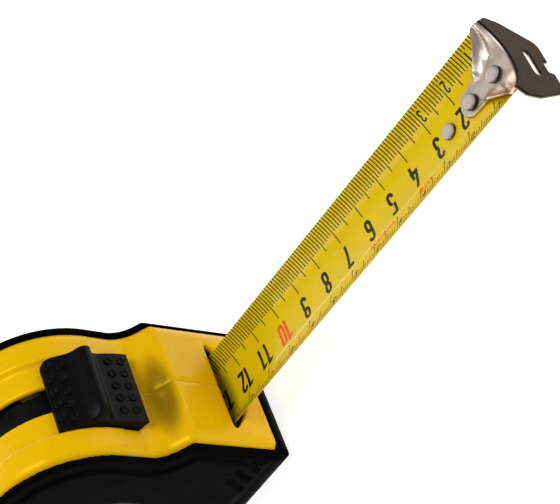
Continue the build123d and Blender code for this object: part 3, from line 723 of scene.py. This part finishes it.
rib = ((4.6 * MM, 11.2 * MM), (10.0 * MM, 5.0 * MM))
valley = ((1.9 * MM, 12.4 * MM), (4.4 * MM, 5.0 * MM))
rib_height, rib_half = 1.0 * MM, 1.7 * MM
valley_depth, valley_half = 0.45 * MM, 0.9 * MM
bend_depth, fade_in = 1.1 * MM, 1.2 * MM
for vertex in hook.data.vertices:
    behind = tip_x - vertex.co.x
    if behind < bend_depth:
        continue
    y = abs(vertex.co.y)
    to_rib = distance_to_line(behind, y, *rib)
    to_valley = distance_to_line(behind, y, *valley)
    lift = rib_height * math.exp(-((to_rib / rib_half) ** 2))
    lift -= valley_depth * math.exp(-((to_valley / valley_half) ** 2))
    towards_axis = Vector((0, -vertex.co.y, blade_axis_z - vertex.co.z)).normalized()
    vertex.co += towards_axis * lift * min(1, (behind - bend_depth) / fade_in)
hook.data.update()
tidy(hook, 60)

# %% Finish of the hook
nickel = Finish("hook_nickel", Metallic=1.0, Specular_Tint=(0.90, 0.79, 0.70, 1))
# The turned-down plate is painted near black: a painted dark reflection.
plate = (nickel.x - (tip_x / MM - 1.0)).ramp(0.1, 0.8)
mottle = nickel.noise(0.5, 4.0)
scuffs = nickel.streaks(0.9, 4.0, (1.0, 8, 8), turn=(0, 0, 0.6))
bright = colour_mix(mottle, (0.56, 0.455, 0.375), (0.72, 0.61, 0.52))
painted_dark_reflection = colour_mix(mottle, (0.010, 0.0085, 0.0075), (0.020, 0.017, 0.015))
nickel.feed("Base Color", colour_mix(plate, bright, painted_dark_reflection))
nickel.feed("Roughness", 0.20 + mottle * 0.12 + scuffs * 0.12 + plate * 0.12)
nickel.feed("Normal", nickel.bump(scuffs, 0.02, 0.4, nickel.bump(mottle, 0.06, 0.3)))
finish(hook, nickel.material, "hook")

# %% [markdown]
# ## Rivets
# Two rivets hold the hook loosely, so that it can slide by about its own thickness, and a third
# stops it behind its tongue. Each is turned: half of its outline is spun about an upright axis,
# with a flat head, a bevelled rim and a smaller closed head under the blade. The steel keeps its
# own colour where it faces up, and its steep sides are painted dark, as painted shade.

# %% Shape of the rivets
rivet_lows, rivet_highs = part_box("hook_rivets")
stop_low, stop_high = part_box("stop_rivet")
head_radius = (stop_high.x - stop_low.x) / 2
shank_radius = 1.1 * MM
head_height = 0.9 * MM
foot_height = 0.6 * MM


def rivet(name, x, low, high):
    """A flat-headed rivet between two heights."""
    tall = high - low
    rim = 0.28 * MM
    profile = [
        (0, tall),
        (head_radius * 0.45, tall - 0.01 * MM),
        (head_radius - rim * 1.3, tall - 0.03 * MM),
        (head_radius - rim * 0.5, tall - rim * 0.35),
        (head_radius, tall - rim * 1.5),
        (head_radius, tall - head_height + 0.1 * MM),
        (head_radius - 0.1 * MM, tall - head_height),
        (shank_radius, tall - head_height),
        (shank_radius, foot_height),
        (head_radius * 0.88, foot_height),
        (head_radius * 0.88, foot_height * 0.4),
        (head_radius * 0.7, foot_height * 0.1),
        (0, 0),
    ]
    return turned(name, profile, (x, 0, low), 64)


steel = Finish("rivet_steel", Metallic=1.0)
swirl = steel.noise(1.4, 4.0)
# The rivets' steep sides are painted dark: painted shade.
facing = steel.start.node("NewGeometry", output="True Normal")
level = steel.start.node("SeparateXYZ", None, {"Vector": facing}, output="Z")
top_clear_of_painted_shade = level.ramp(0.05, 0.75)
steel_bright = colour_mix(swirl, (0.56, 0.47, 0.42), (0.66, 0.57, 0.51))
steel.feed("Base Color", colour_mix(top_clear_of_painted_shade, (0.03, 0.026, 0.024), steel_bright))
steel.feed("Roughness", 0.20 + swirl * 0.18)
steel.feed("Normal", steel.bump(swirl, 0.04, 0.35))

# %% Place the rivets
for name, x in (
    ("rivet_front", rivet_highs.x - head_radius),
    ("rivet_rear", rivet_lows.x + head_radius),
):
    piece = rivet(name, x, rivet_lows.z, rivet_highs.z)
    finish(piece, steel.material, "blade")
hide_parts("hook_rivets")
piece = rivet("rivet_stop", (stop_low.x + stop_high.x) / 2, stop_low.z, stop_high.z)
finish(piece, steel.material, "blade")
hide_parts("stop_rivet")

# %% [markdown]
# ## The lock button
# The button is one black moulding that slides on the curved track: a low pad behind, a rounded
# ridge for the thumb and a second pad that rises to the front. Its side view is drawn as heights
# over the track at angles around it, closed to a face and extruded across in steps. The steps let
# the ridge die away at one end, along a quarter of an ellipse, as the real one does.

# %% Side view of the button
button_low, button_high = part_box("lock_button")
track_radius = 24.2 * MM
button_rear = 34.0
button_top = (
    (button_rear, 1.1), (33.2, 1.6), (31, 1.75), (27, 1.95), (22, 2.25), (18.5, 2.6),
    (16, 3.1), (14, 3.9), (12.4, 4.8), (11, 5.5), (9.5, 5.92), (8, 6.0), (6.6, 5.85), (5.4, 5.4),
    (4.4, 4.6), (3.4, 3.8), (2.2, 3.25), (0.6, 3.0), (-1.5, 3.05), (-5, 3.5), (-10, 4.25),
    (-15, 5.0), (-17.8, 5.45), (-18.5, 5.35), (-18.6, 4.8),
)
underside_height = 0.35
underside_angles = (-18.6, -12, -4, 4, 12, 20, 28, button_rear)
button_profile = [
    (button_rear, underside_height),
    *button_top,
    *((angle, underside_height) for angle in underside_angles),
]


def on_track(angle, height, y):
    """A point so many millimetres over the track, at an angle in degrees around it."""
    turn = math.radians(angle)
    out = track_radius + height * MM
    return track + Vector((out * math.cos(turn), y, out * math.sin(turn)))


button = chain("thumb_button", [on_track(a, h, button_high.y) for a, h in button_profile])
bpy.ops.mesh.select_all(action="SELECT")
bpy.ops.mesh.remove_doubles(threshold=0.002 * MM)
bpy.ops.mesh.select_all(action="SELECT")
bpy.ops.mesh.edge_face_add()
button_width = button_high.y - button_low.y
cuts = [0.02, 0.05, 0.08, 0.12, 0.3, 0.5, 0.7] + [0.75 + 0.025 * k for k in range(10)] + [1.0]
for here, there in zip([0] + cuts, cuts):
    bpy.ops.mesh.extrude_region_move(
        TRANSFORM_OT_translate={"value": (0, -(there - here) * button_width, 0)}
    )
tidy(button)
print("button:", len(button.data.vertices), "vertices")

# %% Ridge end and corners of the button
ridge_base = track_radius + 3.0 * MM
ridge_fall = 4.6 * MM
ridge_front, ridge_rear = -1, 16.5
corner_cut = 2.2 * MM
for vertex in button.data.vertices:
    out = vertex.co - track
    radius = math.hypot(out.x, out.z)
    angle = math.degrees(math.atan2(out.z, out.x))
    into = (button_low.y + ridge_fall - vertex.co.y) / ridge_fall
    if radius > ridge_base and ridge_front < angle < ridge_rear and into > 0:
        radius = ridge_base + (radius - ridge_base) * math.sqrt(max(0, 1 - min(1, into) ** 2))
    from_rear = math.radians(button_rear - angle) * radius
    cut = (corner_cut - from_rear - (button_high.y - vertex.co.y)) / 2
    if cut > 0:
        vertex.co.y -= cut
        angle -= math.degrees(cut / radius)
    turn = math.radians(angle)
    vertex.co.x = track.x + radius * math.cos(turn)
    vertex.co.z = track.z + radius * math.sin(turn)
apply_modifier(button, "BEVEL", width=0.35 * MM, segments=3, angle_limit=math.radians(50))
tidy(button, 45)
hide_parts("lock_button")

# %% Finish of the black plastic
plastic = Finish("black_plastic", IOR=1.48, Specular_IOR_Level=0.09)
grain = plastic.noise(4.0, 2.0)
patches = plastic.noise(0.25, 4.0)
plastic_black = colour_mix(patches, (0.0012, 0.0011, 0.0010), (0.0028, 0.0026, 0.0024))
plastic.feed("Base Color", plastic_black)
plastic.feed("Roughness", 0.30 + patches * 0.16)
plastic.feed("Normal", plastic.bump(grain, 0.05, 0.3, plastic.soft_edges(0.25)))
finish(button, plastic.material, "lock")

# %% [markdown]
# Both pads carry rows of small craters that grip the thumb. One ring is turned, then copied with a
# mesh of its own to each place and tilted to the pad it sits on.

# %% The grip rings
ring_profile = (
    (0, 0.03), (0.5, 0.03), (0.72, 0.12), (0.90, 0.45), (1.04, 0.45), (1.22, 0.18), (1.3, -0.1),
    (1.3, -0.35), (0, -0.35),
)
pattern = turned("ring_pattern", [(r * MM, h * MM) for r, h in ring_profile], (0, 0, 0), 24)


def pad_height(angle):
    """Height of the button's top over the track, in millimetres."""
    for (a0, h0), (a1, h1) in zip(button_top, button_top[1:]):
        if a1 <= angle <= a0:
            return h0 + (h1 - h0) * (a0 - angle) / (a0 - a1)


crater_rows = (  # a row's angle around the track, and the craters' places across it
    (29.6, (8.7, 4.6, 0.5, -3.6, -7.7)),
    (22.6, (7.8, 3.7, -0.4, -4.5, -8.6)),
    (-6.2, (8.5, 4.5, 0.5, -3.5, -7.5)),
    (-13.2, (8.5, 4.5, 0.5, -3.5, -7.5)),
)
rings = []
for angle, places in crater_rows:
    rise = (pad_height(angle - 1) - pad_height(angle + 1)) * MM
    tilt = math.atan2(rise, math.radians(2) * track_radius)  # over the same two degrees
    for y in places:
        copy = pattern.copy()
        copy.data = pattern.data.copy()
        bpy.context.scene.collection.objects.link(copy)
        copy.location = on_track(angle, pad_height(angle), y * MM)
        copy.rotation_euler = (0, math.radians(90 - angle) - tilt, 0)
        rings.append(copy)
bpy.data.objects.remove(pattern)
only(rings[0])
for copy in rings:
    copy.select_set(True)
bpy.ops.object.join()
grip_rings = bpy.context.object
grip_rings.name = "button_rings"
tidy(grip_rings, 50)
finish(grip_rings, plastic.material, "lock")

# %% The strap behind the button
finish(cad_copy("lock_strap", "track_strap"), plastic.material, "lock")

# %% [markdown]
# ## Belt clip and screws
# The clip is a bent strip of chromed spring steel on the hidden side. It bends at its root when
# it is pushed over a belt, so its mesh is sliced near the bend.

# %% The clip
chrome = Finish("clip_chrome", Metallic=1.0)
haze = chrome.noise(0.3, 5.0)
hairlines = chrome.streaks(0.8, 3.0, (9, 9, 0.3))
chrome.feed("Base Color", colour_mix(haze, (0.62, 0.62, 0.63), (0.75, 0.75, 0.76)))
chrome.feed("Roughness", 0.10 + haze * 0.08 + hairlines * 0.14)
chrome.feed("Normal", chrome.bump(hairlines, 0.02, 0.25, chrome.soft_edges(0.3)))

clip = cad_copy("belt_clip", "clip")
clip_bend_z = 55.2 * MM
first_slice_z = clip_bend_z - 10 * MM
for k in range(24):
    pick(clip, "FACE", lambda face: True)
    bpy.ops.mesh.bisect(plane_co=(0, 0, first_slice_z + k * 0.5 * MM), plane_no=(0, 0, 1))
bpy.ops.object.mode_set(mode="OBJECT")
tidy(clip, 35, outward=False)
finish(clip, chrome.material)
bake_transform(clip)

# %% Screws
zinc = Finish("screw_zinc", Metallic=1.0)
bloom = zinc.noise(1.1, 4.0)
zinc.feed("Base Color", colour_mix(bloom, (0.46, 0.47, 0.48), (0.62, 0.62, 0.62)))
zinc.feed("Roughness", 0.28 + bloom * 0.2)
zinc.feed("Normal", zinc.bump(bloom, 0.04, 0.3, zinc.soft_edges(0.15)))
finish(cad_copy("case_screws", "shell_screws"), zinc.material, "case")
finish(cad_copy("clip_screw", "belt_clip_screw"), zinc.material, "case")

# %% [markdown]
# ## Side badge
# A plain round badge fills the recess on the right grip. Where a maker would print a name, it has
# only two engraved rings and a brushed face.

# %% The badge
badge = Finish("badge", Metallic=0.6)
above_reel = badge.z - reel_z / MM
from_centre = (badge.x * badge.x + above_reel * above_reel).maths("SQRT")
rings_mask = (abs(from_centre - 13.6) < 0.35) | (abs(from_centre - 5.2) < 0.25)
brushed = badge.streaks(1.2, 3.0, (0.2, 1, 9))
badge.feed("Base Color", colour_mix(rings_mask, (0.030, 0.030, 0.032), (0.70, 0.44, 0.01)))
badge.feed("Roughness", 0.30 + brushed * 0.22)
badge.feed("Normal", badge.bump(1 - rings_mask, 0.12, 0.8, badge.bump(brushed, 0.03, 0.3)))
finish(cad_copy("side_badge", "round_badge"), badge.material, "case")

# %% [markdown]
# ## Inside the case
# The reel, the springs and the guide are hidden at rest, yet they are part of the object and are
# seen when it is taken apart. They keep their CAD shape and get the finish of their material.

# %% Finish of the inner pieces
grey = Finish("grey_plastic", IOR=1.47)
flow = grey.noise(0.4, 3.0)
grey.feed("Base Color", colour_mix(flow, (0.022, 0.022, 0.023), (0.035, 0.035, 0.036)))
grey.feed("Roughness", 0.42 + flow * 0.15)
grey.feed("Normal", grey.bump(grey.noise(3.0, 2.0), 0.04, 0.3))

blued = Finish("spring_steel", Metallic=1.0)
temper = blued.noise(0.5, 4.0)
blued.feed("Base Color", colour_mix(temper, (0.13, 0.13, 0.15), (0.24, 0.23, 0.23)))
blued.feed("Roughness", 0.24 + temper * 0.2)
blued.feed("Normal", blued.bump(temper, 0.03, 0.3))

wound = Finish("wound_blade", IOR=1.5)
dirt = wound.noise(0.4, 4.0)
wound.feed("Base Color", colour_mix(dirt, (0.70, 0.47, 0.0), (0.78, 0.55, 0.004)))
wound.feed("Roughness", 0.28 + dirt * 0.15)
wound.feed("Normal", wound.bump(dirt, 0.03, 0.3))

inner_finishes = {
    "reel_drum": grey,
    "reel_cover": grey,
    "mouth_guide": grey,
    "reel_post": zinc,
    "lock_shoe": plastic,
    "mainspring": blued,
    "blade_coil": wound,
    "backing_plate": blued,
}
for node, look in inner_finishes.items():
    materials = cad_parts[node].data.materials
    for index in range(max(1, len(materials))):
        if len(materials) > index:
            materials[index] = look.material
        else:
            materials.append(look.material)
